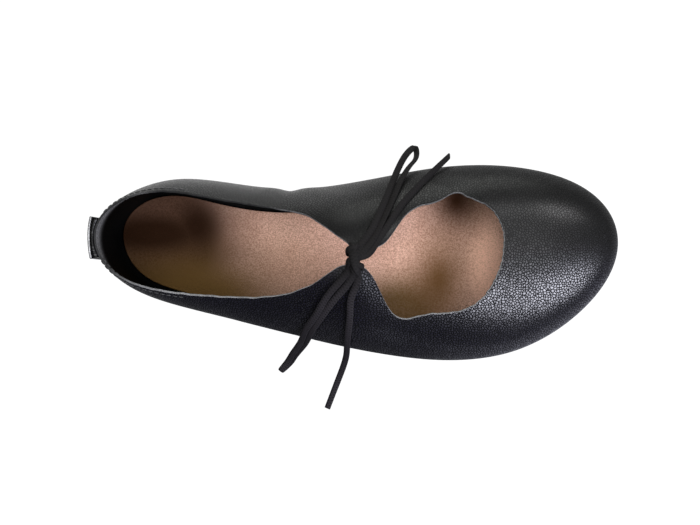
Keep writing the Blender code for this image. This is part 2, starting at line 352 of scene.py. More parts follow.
def lift(along):
    """How far the whole shoe is bent up here: the arch's low rise and the toe's spring."""
    arch = np.clip((along - ARCH_FROM) / (ARCH_TO - ARCH_FROM), 0, 1)
    toe = np.clip((along - SPRING_START) / (LENGTH - SPRING_START), 0, 1.2)
    return ARCH_LIFT * np.sin(math.pi * arch) ** 2 + TOE_SPRING * toe**2


def bent(points):
    """The points bent up with the sole."""
    points = np.array(points, float)
    points[..., 2] += lift(points[..., 0])
    return points


def last_height(along, out):
    """Height of the last's upper surface over a plan point: a superellipse across each section."""
    along = np.clip(along, 0.01, LENGTH - 0.01)
    turn = turn_of(along)
    ridge_out = profile_column("ridge_out", along)
    lateral = ridge_out - outline_column("out", turn)
    medial = outline_column("out", -turn) - ridge_out
    reach = np.where(out < ridge_out, lateral, medial)
    share = np.clip(np.abs(out - ridge_out) / np.maximum(reach, 1e-6), 0, 1)
    belly = profile_column("belly", along)
    rise = profile_column("ridge", along) - belly
    full = profile_column("fullness", along)
    return belly + rise * (1 - share**full) ** (1 / full)


def spine(along):
    """The plan point that a rib runs to: straight across at the tabs, fanned out at heel and toe."""
    front = SPINE_FRONT - SPINE_SOFT * np.log1p(np.exp((SPINE_FRONT - along) / SPINE_SOFT))
    spot = SPINE_BACK + SPINE_SOFT * np.log1p(np.exp((front - SPINE_BACK) / SPINE_SOFT))
    return np.stack([spot, profile_column("ridge_out", spot)], axis=-1)


def ribs(turns):
    """A rib for each angle: in plan it runs straight from the widest line to the spine, at the last's height.

    Its points crowd at the widest line, where it is steep, as one less the cosine of an even angle.
    """
    foot = outline(turns)
    share = 1 - np.cos(np.linspace(0, math.pi / 2, RIB_POINTS))
    plan = foot[:, None] + share[:, None] * (spine(foot[:, 0]) - foot)[:, None]
    height = last_height(plan[..., 0], plan[..., 1])
    height[:, 0] = profile_column("belly", foot[:, 0])
    path = np.concatenate([plan, height[..., None]], axis=-1)
    return path, reach_of(path)


def laid_flat(turns, girths):
    """Places of the leather on a flat hide, in metres: each rib is straightened in plan, out of the spine."""
    path, length = ribs(turns)
    middle = path[:, -1, :2]
    away = unit(path[:, 0, :2] - middle)
    return (middle[:, None] + away[:, None] * (length[:, -1:] - girths)[..., None]) * MM


def wall(turns, girths):
    """Points of the leather above the widest line: on each angle's rib, at these lengths of leather.

    They are found by their length along the rib, between two of its samples.
    """
    path, length = ribs(turns)
    step = (length[:, None, 1:-1] <= girths[..., None]).sum(axis=-1)
    low = np.take_along_axis(length, step, 1)
    high = np.take_along_axis(length, step + 1, 1)
    start = np.take_along_axis(path, step[..., None], 1)
    end = np.take_along_axis(path, step[..., None] + 1, 1)
    return start + ((girths - low) / (high - low))[..., None] * (end - start)


def roll(turns, shares):
    """Points from the widest line, at share 0, down and in to where the leather lies flat on the sole.

    Each is a cubic Bezier curve in inset and height, whose first handle goes straight down.
    """
    foot = outline(turns)
    belly = profile_column("belly", foot[:, 0])
    floor = np.full_like(belly, SOLE_THICK + GAP)
    reach = outline_column("inset", turns) + ROLL
    stem = np.maximum(belly - floor - reach, 0.3 * (belly - floor))
    t = np.asarray(shares, float)
    weights = np.stack([(1 - t) ** 3, 3 * t * (1 - t) ** 2, 3 * t**2 * (1 - t), t**3])
    inset = np.stack([0 * reach, 0 * reach, 0.2 * reach, reach], axis=-1) @ weights
    height = np.stack([belly, belly - stem, floor, floor], axis=-1) @ weights
    plan = outline(np.repeat(turns[:, None], len(t), axis=1), inset)
    return np.concatenate([plan, height[..., None]], axis=-1)


def leather_at(side, along, girth, clear):
    """Points at this clearance outside the leather, and its normals there."""
    turns = np.atleast_1d(loop_turn(side, along)).astype(float)
    girths = np.atleast_1d(girth).astype(float)
    return leather_on(turns, girths, clear)


def leather_on(turns, girths, clear=0.0):
    """Points outside the leather by angle and girth, and the normals: cross products of its slopes there."""
    step = 0.004
    around = wall(turns + step, girths[:, None])[:, 0] - wall(turns - step, girths[:, None])[:, 0]
    pair = wall(turns, girths[:, None] + np.array([-0.5, 0.5]))
    normal = unit(np.cross(around, pair[:, 1] - pair[:, 0]))
    return bent(pair.mean(axis=1)) + normal * clear, normal


ALL_ROUND = np.linspace(0, 2 * math.pi, ROUND_POINTS)
WIDEST = outline(ALL_ROUND)


def even_turns(count):
    """Angles round the shoe, spaced by the widest line and the top edge together."""
    top = wall(ALL_ROUND, top_girth(ALL_ROUND)[:, None])[:, 0]
    covered = reach_of(WIDEST) + reach_of(top)
    return np.interp(np.arange(count) * covered[-1] / count, covered, ALL_ROUND)


# The frame's origin in the tables: the low corner of the upper's box is the low corner of the widest line.
MIDDLE = np.append(WIDEST.min(axis=0) - np.array(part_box("upper")[0])[:2] / MM, 0)


def in_frame(points):
    """Points of the tables in the frame, in metres."""
    return (np.asarray(points, float) - MIDDLE) * MM


class Signal:
    """A shader socket on which Python's operators act, each adding one Math node."""

    def __init__(self, finish, socket):
        self.finish = finish
        self.socket = socket

    def maths(self, operation, *values):
        return self.finish.node("Math", {"operation": operation}, dict(enumerate(values)))

    def __add__(self, other):
        return self.maths("ADD", self, other)

    def __radd__(self, other):
        return self.maths("ADD", other, self)

    def __sub__(self, other):
        return self.maths("SUBTRACT", self, other)

    def __rsub__(self, other):
        return self.maths("SUBTRACT", other, self)

    def __mul__(self, other):
        return self.maths("MULTIPLY", self, other)

    def __rmul__(self, other):
        return self.maths("MULTIPLY", other, self)

    def sine(self):
        return self.maths("SINE", self)

    def top(self, other):
        return self.maths("MAXIMUM", self, other)

    def step(self, low, high):
        """0 below low, 1 above high and a smooth rise between them."""
        settings = {"interpolation_type": "SMOOTHSTEP"}
        return self.finish.node("MapRange", settings, {"Value": self, "From Min": low, "From Max": high})


class Finish:
    """The nodes of a material, or of the world, that feed its one shader."""

    def __init__(self, wearer, shader, constants):
        wearer.use_nodes = True
        self.wearer = wearer
        self.tree = wearer.node_tree
        self.shader = self.tree.nodes[shader]
        self.set(constants)

    def set(self, sockets):
        for key, value in sockets.items():
            self.feed(self.shader.inputs[key], value)

    def feed(self, socket, value):
        if isinstance(value, Signal):
            self.tree.links.new(value.socket, socket)
        else:
            socket.default_value = value

    def node(self, kind, settings, sockets, output=0):
        """Any node by its kind, its settings and the values or links of its sockets."""
        made = self.tree.nodes.new("ShaderNode" + kind)
        for key, value in settings.items():
            setattr(made, key, value)
        for key, value in sockets.items():
            self.feed(made.inputs[key], value)
        return Signal(self, made.outputs[output])

    def place(self):
        """The place in the frame, in metres."""
        return self.node("TexCoord", {}, {}, "Object")

    def flat_place(self):
        """The place on the piece's own flat map: a hide's, or the length and the turn of a lace."""
        return self.node("UVMap", {"uv_map": "UVMap"}, {})

    def part(self, where, axis):
        """One of the numbers of a place."""
        return self.node("SeparateXYZ", {}, {0: where}, axis)

    def noise(self, where, size, detail=2.0, rough=0.5):
        """Noise from 0 to 1 whose patches are about this size in millimetres."""
        sockets = {"Vector": where, "Scale": 1000 / size, "Detail": detail, "Roughness": rough}
        return self.node("TexNoise", {}, sockets)

    def cells(self, where, size, feature, output="Distance", dimensions="3D"):
        """Distances in cells of about this size in millimetres, or each cell's own colour."""
        settings = {"feature": feature, "voronoi_dimensions": dimensions}
        sockets = {"Vector": where, "Scale": 1000 / size, "Randomness": 1}
        return self.node("TexVoronoi", settings, sockets, output)

    def shaken(self, where, size, far):
        """The place moved by up to this many millimetres, by noise of this size."""
        push = self.node("TexNoise", {}, {"Vector": where, "Scale": 1000 / size, "Detail": 2.0}, "Color")
        even = self.node("VectorMath", {"operation": "SUBTRACT"}, {0: push, 1: (0.5, 0.5, 0.5)})
        moved = self.node("VectorMath", {"operation": "SCALE"}, {0: even, "Scale": 2 * far * MM})
        return self.node("VectorMath", {"operation": "ADD"}, {0: where, 1: moved})

    def mix(self, share, low, high):
        """The low colour at share 0 and the high one at share 1."""
        sockets = {0: share, 6: low, 7: high}
        return self.node("Mix", {"data_type": "RGBA"}, sockets, 2)

    def bump(self, height, depth):
        """Normals of a relief this deep in millimetres."""
        sockets = {"Height": height, "Distance": depth * MM, "Strength": 1.0}
        return self.node("Bump", {}, sockets)

    def spot(self, where, middle, size, firm=0.25):
        """A soft oval patch in the shoe's plan: 1 up to the firm share of its size and 0 past all of it."""
        centre = in_frame((*middle, 0))
        away = self.node("VectorMath", {"operation": "SUBTRACT"}, {0: where, 1: tuple(centre)})
        scale = (1 / (size[0] * MM), 1 / (size[1] * MM), 0)
        even = self.node("VectorMath", {"operation": "MULTIPLY"}, {0: away, 1: scale})
        far = self.node("VectorMath", {"operation": "LENGTH"}, {0: even}, "Value")
        return 1 - far.step(firm, 1.0)


def material_finish(name, constants):
    """The finish of a new material."""
    return Finish(bpy.data.materials.new(name), "Principled BSDF", constants)


def grey(value, tint=(1, 1, 1)):
    """A grey as a colour, with a tint on it."""
    return (value * tint[0], value * tint[1], value * tint[2], 1)


def pebbled_leather():
    """Black leather: fine pebbles ringed by dark cracks, the top of each polished to its own degree.

    The polish is low on the medial side and round the tabs, the grain is deepest on the lateral side, and the
    lateral black is tinted blue as painted bluish light.
    """
    constants = {"Specular IOR Level": 0.11, "Coat Roughness": 0.3, "Coat IOR": 1.7}
    finish = material_finish("black leather", constants)
    place = finish.place()
    hide = finish.flat_place()
    shaken = finish.shaken(hide, size=2.5, far=0.3)
    pebble = finish.cells(shaken, PEBBLE, "DISTANCE_TO_EDGE", dimensions="2D").step(0.0, 0.3)
    polish = finish.cells(shaken, PEBBLE, "F1", "Color", "2D").step(0.1, 0.9)
    medial = finish.part(place, "Y").step(-0.012, 0.012)
    dull = finish.spot(place, (129, -16), (36, 34), firm=0.5)
    deep = finish.spot(place, (142, -48), (64, 31), firm=0.5)
    shine = pebble.step(0.35, 1.0) * (0.65 + 0.35 * polish) * (1 - 0.84 * dull)
    fold = finish.noise(place, 7.0, detail=2.0)
    patch = finish.noise(place, 14.0, detail=3.0)
    # The lateral side's black is tinted blue: painted bluish light. The medial side keeps the plain black.
    black_with_painted_blue_light = finish.mix(medial, grey(0.004, (0.95, 0.85, 2.1)), grey(0.004))
    colour = finish.mix(pebble * (0.8 + 0.4 * patch), grey(0.0015), black_with_painted_blue_light)
    finish.set({
        "Base Color": colour,
        "Roughness": 0.6 - 0.2 * pebble + 0.06 * (patch - 0.5),
        "Coat Weight": shine + (0.14 - shine) * medial * 0.8,
        "Normal": finish.bump(pebble * (1 + 1.8 * deep) + 0.6 * fold, depth=0.14),
    })
    return finish.wearer


def cut_edge(name, pale, heel_shaded_grey):
    """The bare fibres of cut leather: pale grey with darker flecks, and painted shade that darkens it on the
    medial side and gives another grey round the heel.
    """
    finish = material_finish(name, {"Specular IOR Level": 0.3})
    place = finish.place()
    fibre = finish.noise(place, 0.5, detail=3.0, rough=0.7)
    patch = finish.noise(place, 5.0, detail=2.0)
    medial = finish.part(place, "Y").step(0.0, 0.03)
    # Darker on the medial side: painted shade.
    tone = fibre.step(0.25, 0.75) * 0.6 + 0.5 - patch.step(0.55, 0.8) * 0.3 - medial * 0.4
    # Round the heel and along the medial collar the edge takes the heel's grey: painted shade.
    back = finish.spot(place, (4, -2), (42, 40), firm=0.4)
    heel = back.top(finish.spot(place, (62, 22), (48, 24), firm=0.6))
    finish.set({
        "Base Color": finish.mix(tone, grey(0), finish.mix(heel, grey(pale), grey(heel_shaded_grey))),
        "Roughness": 0.8 + 0.1 * fibre,
        "Normal": finish.bump(fibre, depth=0.12),
    })
    return finish.wearer


def lining():
    """Thin dull black lining leather, with a painted grey sheen towards the heel's rim."""
    finish = material_finish("lining", {"Specular IOR Level": 0.05})
    place = finish.place()
    grain = finish.cells(finish.shaken(place, size=2.0, far=0.3), 0.9, "DISTANCE_TO_EDGE").step(0.0, 0.3)
    patch = finish.noise(place, 9.0, detail=3.0)
    # A painted sheen: grey towards the top of the heel's inside.
    rim = finish.part(place, "Z").step(0.034, 0.05)
    painted_sheen = rim * rim * finish.spot(place, (0, 8), (46, 32), firm=0.4)
    finish.set({
        "Base Color": finish.mix(painted_sheen, finish.mix(patch, grey(0.001), grey(0.002)), grey(0.16)),
        "Roughness": 0.42 + 0.18 * patch,
        "Normal": finish.bump(grain + 0.6 * patch, depth=0.08),
    })
    return finish.wearer


# Patches on the insole: the middle and half the size of each, and how much of that is full. The toe's patch
# is lighter; those of the heel and the ball are painted shade.
INSOLE_PATCHES = {
    "toe": ((193, -18), (13, 32), 0.25),
    "heel": ((21, -5), (66, 64), 0.4),
    "heel_lateral": ((30, -32), (80, 46), 0.3),
    "heel_shade": ((62, -19), (50, 20), 0.3),
    "heel_edge": ((42, -35), (64, 25), 0.25),
    "heel_core": ((42.5, 3), (19, 19), 0.1),
    "heel_back": ((19, -0.5), (44, 15), 0.25),
    "ball_medial": ((177, 16), (25, 32), 0.0),
    "ball_edge": ((148, -42), (36, 30), 0.25),
    "ball_lateral": ((168, -24), (25, 38), 0.0),
}


def tan_leather():
    """Undyed tanned leather: pinkish and speckled, with painted shade that darkens it at the heel, along the
    lateral edge and about the ball.

    The patches lie on the bare leather one over another, from the first of the layers to the last.
    """
    finish = material_finish("tan leather", {"Specular IOR Level": 0.04})
    place = finish.place()
    speck = finish.noise(place, 0.7, detail=4.0, rough=0.7)
    cloud = finish.noise(place, 22.0, detail=3.0)
    pore = finish.cells(place, 0.9, "F1")
    dots = speck.step(0.36, 0.66)
    even = 1 - 0.07 * speck.step(0.36, 0.68)
    insole_patch = {name: finish.spot(place, *oval) for name, oval in INSOLE_PATCHES.items()}
    # The heel's painted shade: its darkest core, and its tone, pinker to the medial side and yellower to the
    # lateral.
    core = (insole_patch["heel_core"] * 0.92).top(insole_patch["heel_back"] * 0.95)
    heel_shade_tone = finish.mix(insole_patch["heel_lateral"], (0.043, 0.0205, 0.0115, 1), (0.041, 0.02, 0.0055, 1))
    # Over the specks and pores, the toe's layer is lighter and every later layer is painted shade.
    layers = (
        (dots * 0.8, (0.3, 0.16, 0.105, 1)),
        ((1 - pore.step(0.05, 0.4)) * 0.45, (0.24, 0.12, 0.075, 1)),
        (insole_patch["toe"] * (0.9 - 0.5 * dots), (0.86, 0.505, 0.365, 1)),
        (insole_patch["heel"] * even, heel_shade_tone),
        (insole_patch["heel_shade"] * 0.35, (0.055, 0.029, 0.008, 1)),
        (insole_patch["heel_edge"] * even, (0.11, 0.061, 0.018, 1)),
        (core, (0.012, 0.004, 0.001, 1)),
        (insole_patch["ball_medial"], (0.036, 0.014, 0.006, 1)),
        (insole_patch["ball_edge"] * 0.85, (0.1, 0.056, 0.009, 1)),
        (insole_patch["ball_lateral"] * 0.95, (0.1, 0.047, 0.014, 1)),
    )
    colour = finish.mix(cloud.step(0.3, 0.7), (0.73, 0.448, 0.332, 1), (0.79, 0.5, 0.38, 1))
    for share, tone in layers:
        colour = finish.mix(share, colour, tone)
    finish.set({
        "Base Color": colour,
        "Roughness": 0.62 + 0.2 * speck,
        "Normal": finish.bump(speck + 0.4 * pore, depth=0.12),
    })
    return finish.wearer


def sole_rubber():
    """Matte black moulded rubber."""
    finish = material_finish("sole rubber", {"Specular IOR Level": 0.45})
    place = finish.place()
    skin = finish.noise(place, 0.5, detail=3.0)
    dust = finish.noise(place, 30.0, detail=4.0)
    finish.set({
        "Base Color": finish.mix(dust.step(0.4, 0.8), grey(0.012), grey(0.02)),
        "Roughness": 0.5 + 0.2 * skin,
        "Normal": finish.bump(skin, depth=0.05),
    })
    return finish.wearer


def lace_braid():
    """Flat cotton braid, painted lighter and bluish on the lateral side and darker on the medial, as light
    and shade: crossing strands, sines of the length and the turn.
    """
    finish = material_finish("lace braid", {"Specular IOR Level": 0.16})
    length = finish.part(finish.flat_place(), "X") * (2 * math.pi / STRAND_LONG)
    turn = finish.part(finish.flat_place(), "Y") * (2 * math.pi * STRANDS)
    strand = (length + turn).sine().top((length - turn).sine())
    place = finish.place()
    fuzz = finish.noise(place, 0.4, detail=3.0)
    medial = finish.part(place, "Y").step(-0.025, 0.0)
    # One lace, painted as light and shade: lighter and bluish on the lateral side, darker on the medial.
    thread_lit_and_shaded = finish.mix(medial, grey(0.02, (1.05, 0.93, 1.12)), grey(0.0065, (1.1, 0.95, 0.95)))
    finish.set({
        "Base Color": finish.mix(strand * 0.5 + 0.5, grey(0.003), thread_lit_and_shaded),
        "Roughness": 0.72 + 0.15 * fuzz,
        "Normal": finish.bump(0.7 * strand + 0.5 * fuzz, depth=0.08),
    })
    return finish.wearer


def sewing_thread():
    """Waxed black thread with its twist."""
    finish = material_finish("thread", {"Specular IOR Level": 0.5})
    twist = finish.noise(finish.place(), 0.3, detail=2.0)
    finish.set({
        "Base Color": finish.mix(twist, grey(0.02), grey(0.06)),
        "Roughness": 0.4 + 0.2 * twist,
        "Normal": finish.bump(twist, depth=0.05),
    })
    return finish.wearer


def pale_floor():
    """White to the camera. To the shoe it is bright on the medial side, and dim at the lateral heel."""
    finish = material_finish("pale floor", {
        "Base Color": grey(0.06),
        "Roughness": 0.9,
        "Specular IOR Level": 0.1,
        "Emission Strength": 1.0,
    })
    place = finish.place()
    along = finish.part(place, "X")
    medial = finish.part(place, "Y")
    shown = finish.node("LightPath", {}, {}, "Is Camera Ray")
    bright = finish.mix(along.step(-0.06, 0.04), grey(1.4), grey(0.5))
    dim = finish.mix(along.step(0.01, 0.13), grey(0.03, (0.9, 0.9, 1.2)), grey(0.8, (0.92, 0.93, 1.1)))
    card = finish.mix(medial.step(-0.05, 0.06), dim, bright)
    finish.set({"Emission Color": finish.mix(shown, card, grey(1))})
    return finish.wearer


leather = pebbled_leather()
raw = cut_edge("cut edge", 0.22, 0.025)
tab_edge = cut_edge("tab edge", 0.6, 0.6)
inner = lining()
tan = tan_leather()
rubber = sole_rubber()
braid = lace_braid()
thread = sewing_thread()


def grid_faces(columns, rows, close_columns=False, close_rows=False):
    """Quads of a grid whose points are counted row by row within each column."""
    a = np.arange(columns if close_columns else columns - 1)[:, None]
    b = np.arange(rows if close_rows else rows - 1)
    here = a * rows
    there = (a + 1) % columns * rows
    above = (b + 1) % rows
    return np.stack([here + b, there + b, there + above, here + above], axis=-1).reshape(-1, 4)


def piece(name, points, faces, looks, picks=None, corner_uv=None):
    """A smooth mesh object, its points in the shoe's millimetres."""
    mesh = bpy.data.meshes.new(name)
    mesh.from_pydata(in_frame(points).reshape(-1, 3).tolist(), [], [list(face) for face in faces])
    for look in looks:
        mesh.materials.append(look)
    if picks is not None:
        mesh.polygons.foreach_set("material_index", np.asarray(picks, np.int32))
    if corner_uv is not None:
        mesh.uv_layers.new(name="UVMap").data.foreach_set("uv", np.asarray(corner_uv, np.float32).ravel())
    mesh.polygons.foreach_set("use_smooth", np.ones(len(mesh.polygons), bool))
    made = bpy.data.objects.new(name, mesh)
    bpy.context.scene.collection.objects.link(made)
    return made


def hand_over(made, slot, *nodes):
    """Ride the shoe's one body and stand for CAD nodes, hiding them; the slot is not used."""
    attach(made, "root")
    if nodes:
        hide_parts(*nodes)
    return made


def skived(depth):
    """Thickness of the leather this far below its top edge: it is pared thin towards the cut."""
    share = np.clip(depth / SKIVE, 0, 1)
    return CUT_THICK + (WALL - CUT_THICK) * share**2 * (3 - 2 * share)


def creases(turns, girths):
    """How far the leather stands out at these angles and girths: a sum of soft troughs and ridges.

    Each falls off as a Gauss curve across its line and as a cosine along it.
    """
    rows = {name: column(CREASES, CREASE_COLUMNS, name)[:, None, None] for name in CREASE_COLUMNS}
    along = LENGTH / 2 * (1 - np.cos(turns))[:, None]
    side = np.where(np.sin(turns) >= 0, LATERAL, MEDIAL)[:, None]
    lean = np.radians(rows["lean"])
    x = along - rows["along"]
    y = girths - rows["girth"]
    down = x * np.cos(lean) + y * np.sin(lean)
    across = y * np.cos(lean) - x * np.sin(lean)
    fade = np.cos(np.clip(down / rows["reach"], -1, 1) * math.pi / 2) ** 2
    trough = rows["depth"] * fade * np.exp(-((across / rows["width"]) ** 2))
    return -np.where(side == rows["side"], trough, 0).sum(axis=0)


def make_upper(columns=600, wall_rows=46, roll_rows=12, round_rows=3):
    """The upper as one closed shell: a loop of points in each rib, carried round the shoe.

    The loop goes up the outside from the turned-in margin, over the rounded cut edge and down the inside,
    which lies the leather's thickness in along the normal.
    """
    turns = even_turns(columns)
    ripple = sum(high * np.sin(turns * waves + phase) for high, waves, phase in CUT_RIPPLES)
    top = top_girth(turns) + ripple - CUT_ROUND
    girths = np.linspace(0, 1, wall_rows + 1) * top[:, None]
    shares = np.linspace(1, 0, roll_rows + 1)[:-1]
    edge = outline(turns, outline_column("inset", turns) + ROLL + MARGIN)
    edge = np.concatenate([edge, np.full((columns, 1), SOLE_THICK + GAP)], axis=1)
    outside = bent(np.concatenate([edge[:, None], roll(turns, shares), wall(turns, girths)], axis=1))
    below = np.broadcast_to(np.append(MARGIN_GIRTH, ROLL_GIRTH * shares), (columns, roll_rows + 1))
    relief = creases(turns, np.concatenate([below, girths], axis=1))
    around = np.roll(outside, -1, axis=0) - np.roll(outside, 1, axis=0)
    normal = unit(np.cross(around, np.gradient(outside, axis=1)))
    outside = outside + normal * relief[..., None]
    depth = np.concatenate([below * 0 + SKIVE, top[:, None] + CUT_ROUND - girths], axis=1)
    inside = outside - normal * skived(depth)[..., None]
    rise = unit(outside[:, -1] - outside[:, -3])[:, None]
    face = normal[:, -1][:, None]
    bend = np.linspace(0, math.pi / 2, round_rows + 1)[1:, None]
    outer_arc = outside[:, -1][:, None] + CUT_ROUND * ((np.cos(bend) - 1) * face + np.sin(bend) * rise)
    inner_arc = inside[:, -1][:, None] + CUT_ROUND * ((1 - np.sin(bend)) * face + np.cos(bend) * rise)
    start = inside[:, -1][:, None] + CUT_ROUND * (face + rise)
    loop = np.concatenate([outside, outer_arc, start, inner_arc, inside[:, -2::-1]], axis=1)
    rows = loop.shape[1]
    row = np.tile(np.arange(rows), columns)
    cut_from = outside.shape[1] - 1
    cut_to = cut_from + 2 * round_rows + 1
    picks = np.where(row < cut_from, 0, np.where(row < cut_to, 1, 2))
    faces = grid_faces(columns, rows, close_columns=True, close_rows=True)
    flat = laid_flat(turns, np.concatenate([below, girths], axis=1))
    tip = np.repeat(flat[:, -1:], 2 * round_rows + 1, axis=1)
    hide = np.concatenate([flat, tip, flat[:, -2::-1]], axis=1)
    corner_uv = hide.reshape(-1, 2)[faces]
    made = piece("upper_leather", loop, faces, (leather, raw, inner), picks, corner_uv)
    return hand_over(made, "leather_black", "upper")


def slab(rings, stations, across):
    """Points and faces of a solid through rings: each has an outline column to follow, an inset and a height.

    The end faces are gridded by lines straight across, from each point of the ring to its opposite.
    """
    half = np.linspace(0, math.pi, stations + 1)
    turns = np.append(half, 2 * math.pi - half[-2:0:-1])
    count = len(turns)
    inset, height = np.array([ring[1:] for ring in rings], float).T
    edge = np.array([outline_column(ring[0], turns) for ring in rings])
    plan = outline(np.broadcast_to(turns, (len(rings), count)), edge + inset[:, None])
    side = np.concatenate([plan, np.broadcast_to(height[:, None, None], (len(rings), count, 1))], axis=-1)
    points = [side.reshape(-1, 3)]
    number = np.arange(len(rings) * count).reshape(len(rings), count)
    quads = grid_faces(len(rings), count, close_rows=True)[:, ::-1]
    faces = [tuple(face) for face in quads]
    share = np.linspace(0, 1, across + 1)[1:-1, None]
    total = len(rings) * count
    for ring, upward in ((0, False), (len(rings) - 1, True)):
        near = number[ring, 1:stations]
        far = number[ring, :stations:-1]
        start = side[ring, 1:stations][:, None]
        end = side[ring, :stations:-1][:, None]
        points.append((start + share * (end - start)).reshape(-1, 3))
        inner_number = total + np.arange((stations - 1) * (across - 1)).reshape(stations - 1, across - 1)
        total += inner_number.size
        lines = np.concatenate([near[:, None], inner_number, far[:, None]], axis=1)
        quads = lines.ravel()[grid_faces(stations - 1, across + 1)]
        heel = number[ring, 0]
        toe = number[ring, stations]
        first = [(heel, a, b) for a, b in zip(lines[0, :-1], lines[0, 1:])]
        last = [(toe, b, a) for a, b in zip(lines[-1, :-1], lines[-1, 1:])]
        cap = [tuple(face) for face in quads] + first + last
        faces.extend(cap if upward else [face[::-1] for face in cap])
    return np.concatenate(points), faces


def rounded(follow, inset, low, high, radius, count=4):
    """Rings of a side whose upper corner is a quarter round."""
    bend = np.linspace(0, math.pi / 2, count + 1)
    arc = [(follow, inset + radius * (1 - math.cos(b)), high - radius * (1 - math.sin(b))) for b in bend]
    return [(follow, inset, low), *arc]


def make_insole():
    """The insole: its rim flares out to the wall, and it is pressed down by Gauss curves under heel and ball.

    On the medial side behind the tabs its edge stands off the wall, by a Gauss curve of the place along.
    """
    seat = SOLE_THICK + WALL + 2 * GAP
    core = ROLL + MARGIN + 2 * GAP
    rim = ROLL + 2 * GAP
    top = seat + INSOLE_THICK
    rings = [("inset", core, SOLE_THICK + GAP), ("inset", core, seat), ("inset", rim, seat)]
    rings += rounded("rim", 0, top - INSOLE_RIM, top, INSOLE_ROUND)
    points, faces = slab(rings, stations=120, across=40)
    x, y, z = points.T
    pressed = sum(
        depth * np.exp(-(((x - along) / long) ** 2) - ((y - out) / wide) ** 2)
        for along, out, long, wide, depth in PRESSED
    )
    sunk = np.where(z > top - SAME_POINT, pressed, 0)
    turns = np.linspace(0, math.pi, 121)
    medial = outline(-turns, outline_column("rim", -turns))
    edge = np.maximum(np.interp(x, medial[:, 0], medial[:, 1]), 1)
    off = INSOLE_GAP * np.exp(-(((x - GAP_ALONG) / GAP_REACH) ** 2)) * np.clip(y / edge, 0, 1) ** 4
    points = np.column_stack([x, y - off, z - sunk])
    return hand_over(piece("insole_leather", bent(points), faces, (tan,)), "leather_tan", "insole")


def make_outsole():
    """The sole's body, its edges quarter rounds, with a well inside the rim that takes the tread."""
    bend = np.linspace(0, math.pi / 2, 5)
    foot = [("inset", FOOT_ROUND * (1 - math.sin(b)), FOOT_ROUND * (1 - math.cos(b))) for b in bend]
    well = [
        ("inset", TREAD_RIM, WELL_DEPTH),
        ("inset", TREAD_RIM, RIM_BEVEL),
        ("inset", TREAD_RIM - RIM_BEVEL, 0),
    ]
    rings = [*well, *foot, *rounded("inset", 0, SOLE_SIDE, SOLE_THICK, SOLE_ROUND)]
    points, faces = slab(rings, stations=120, across=12)
    return hand_over(piece("outsole_body", bent(points), faces, (rubber,)), "rubber_black", "outsole")


